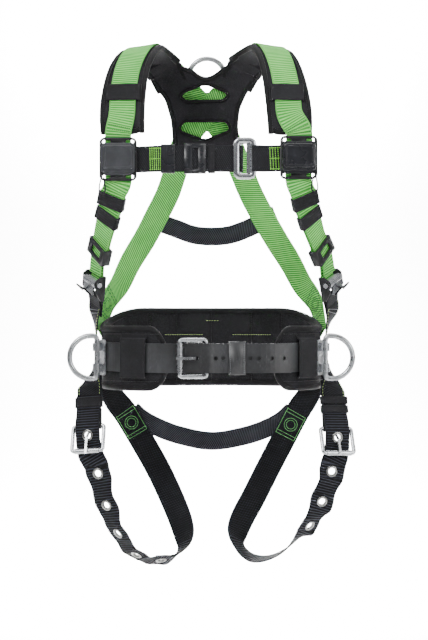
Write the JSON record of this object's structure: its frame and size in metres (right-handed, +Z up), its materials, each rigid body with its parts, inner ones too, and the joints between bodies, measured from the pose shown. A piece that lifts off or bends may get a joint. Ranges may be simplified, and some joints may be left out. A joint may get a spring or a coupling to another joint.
{
  "type": "full-body work-positioning harness",
  "caption": "Full-body climbing harness with padded yoke and waist belt, dorsal and side rings, chest strap and buckled leg loops, worn open.",
  "frame": {"origin": "centre of the waist opening at the height of the leather belt's centreline", "axes": "+Z up along the wearer, -Y to the wearer's front, +X to the wearer's left"},
  "size_m": [0.5026, 0.3054, 0.9363],
  "materials": {
    "green_webbing": "woven polyester",
    "black_webbing": "woven polyester",
    "pad_mesh": "padded spacer mesh",
    "leather": "waxed",
    "black_plastic": "moulded",
    "zinc_steel": "zinc plated",
    "cord": "braided"
  },
  "bodies": {
    "harness": {"back_yoke_pad": "pad_mesh", "belt_back_strap": "leather", "belt_buckle_frame": "zinc_steel", "belt_buckle_strap": "leather", "belt_loops": "black_webbing", "belt_pad": "pad_mesh", "belt_tongue_strap": "leather", "box_cord_l": "cord", "box_cord_r": "cord", "cam_housing_l": "black_plastic", "cam_housing_r": "black_plastic", "cam_pins": "zinc_steel", "chest_box_base_l": "black_plastic", "chest_box_base_r": "black_plastic", "chest_box_covers": "black_plastic", "chest_inner_frame": "zinc_steel", "chest_keepers": "black_plastic", "chest_outer_frame": "zinc_steel", "chest_slide": "black_plastic", "chest_web_l": "black_webbing", "chest_web_r": "black_webbing", "dorsal_plate": "black_plastic", "hip_web_l": "black_webbing", "hip_web_r": "black_webbing", "leg_buckle_frame_l": "zinc_steel", "leg_buckle_frame_r": "zinc_steel", "leg_grommets": "zinc_steel", "leg_keepers": "black_webbing", "leg_web_l": "black_webbing", "leg_web_r": "black_webbing", "lumbar_web": "black_webbing", "pad_keepers": "black_webbing", "seat_web": "black_webbing", "shoulder_pad_l": "pad_mesh", "shoulder_pad_r": "pad_mesh", "shoulder_web_l": "green_webbing", "shoulder_web_r": "green_webbing", "side_d_plates": "zinc_steel", "side_rivets": "zinc_steel", "torso_keepers": "black_webbing", "torso_tail_l": "green_webbing", "torso_tail_r": "green_webbing", "torso_web_l": "green_webbing", "torso_web_r": "green_webbing", "web_slides": "black_plastic"},
    "dorsal_ring": {"dorsal_d_ring": "zinc_steel"},
    "side_ring_l": {"side_d_ring_l": "zinc_steel"},
    "side_ring_r": {"side_d_ring_r": "zinc_steel"},
    "belt_prong": {"belt_buckle_prong": "zinc_steel"},
    "belt_roller": {"belt_buckle_roller": "zinc_steel"},
    "keeper": {"belt_keeper": "leather"},
    "leg_prong_l": {"leg_buckle_prong_l": "zinc_steel"},
    "leg_prong_r": {"leg_buckle_prong_r": "zinc_steel"},
    "leg_roller_l": {"leg_buckle_roller_l": "zinc_steel"},
    "leg_roller_r": {"leg_buckle_roller_r": "zinc_steel"},
    "cam_lever_l": {"cam_l": "zinc_steel", "cam_bail_l": "zinc_steel"},
    "cam_lever_r": {"cam_r": "zinc_steel", "cam_bail_r": "zinc_steel"}
  },
  "joints": [
    {"name": "dorsal_ring_hinge", "type": "hinge", "parent": "harness", "child": "dorsal_ring", "pos_m": [-0.008, 0.1397, 0.45916], "axis": [1, 0, 0], "range_deg": [-140, 0]},
    {"name": "side_ring_hinge_l", "type": "hinge", "parent": "harness", "child": "side_ring_l", "pos_m": [-0.19871, -0.06718, -0.002], "axis": [0, 0, 1], "range_deg": [-50, 50]},
    {"name": "side_ring_hinge_r", "type": "hinge", "parent": "harness", "child": "side_ring_r", "pos_m": [0.19871, -0.06718, -0.002], "axis": [0, 0, 1], "range_deg": [-50, 50]},
    {"name": "belt_prong_hinge", "type": "hinge", "parent": "harness", "child": "belt_prong", "pos_m": [-0.008, -0.1372, -0.002], "axis": [0, 0, 1], "range_deg": [0, 2]},
    {"name": "belt_roller_spin", "type": "hinge", "parent": "harness", "child": "belt_roller", "pos_m": [-0.053, -0.1447, -0.002], "axis": [0, 0, 1], "continuous": true},
    {"name": "keeper_slide", "type": "slide", "parent": "harness", "child": "keeper", "axis": [1, 0, 0], "range_m": [-0.008, 0.008]},
    {"name": "leg_prong_hinge_l", "type": "hinge", "parent": "harness", "child": "leg_prong_l", "pos_m": [-0.213, -0.063, -0.122], "axis": [-0.9539, 0.289, -0.081], "range_deg": [0, 2]},
    {"name": "leg_roller_spin_l", "type": "hinge", "parent": "harness", "child": "leg_roller_l", "pos_m": [-0.21477, -0.08057, -0.16381], "axis": [-0.9539, 0.289, -0.081], "continuous": true},
    {"name": "cam_lever_hinge_l", "type": "hinge", "parent": "harness", "child": "cam_lever_l", "pos_m": [-0.20925, -0.03368, 0.13149], "axis": [-0.4849, 0.8243, 0.2924], "range_deg": [0, 50]},
    {"name": "leg_prong_hinge_r", "type": "hinge", "parent": "harness", "child": "leg_prong_r", "pos_m": [0.217, -0.063, -0.126], "axis": [-0.9525, -0.3036, 0.0258], "range_deg": [0, 2]},
    {"name": "leg_roller_spin_r", "type": "hinge", "parent": "harness", "child": "leg_roller_r", "pos_m": [0.22146, -0.08055, -0.16761], "axis": [-0.9525, -0.3036, 0.0258], "continuous": true},
    {"name": "cam_lever_hinge_r", "type": "hinge", "parent": "harness", "child": "cam_lever_r", "pos_m": [0.21417, -0.03385, 0.13212], "axis": [-0.478, -0.8126, -0.3336], "range_deg": [0, 50]}
  ]
}
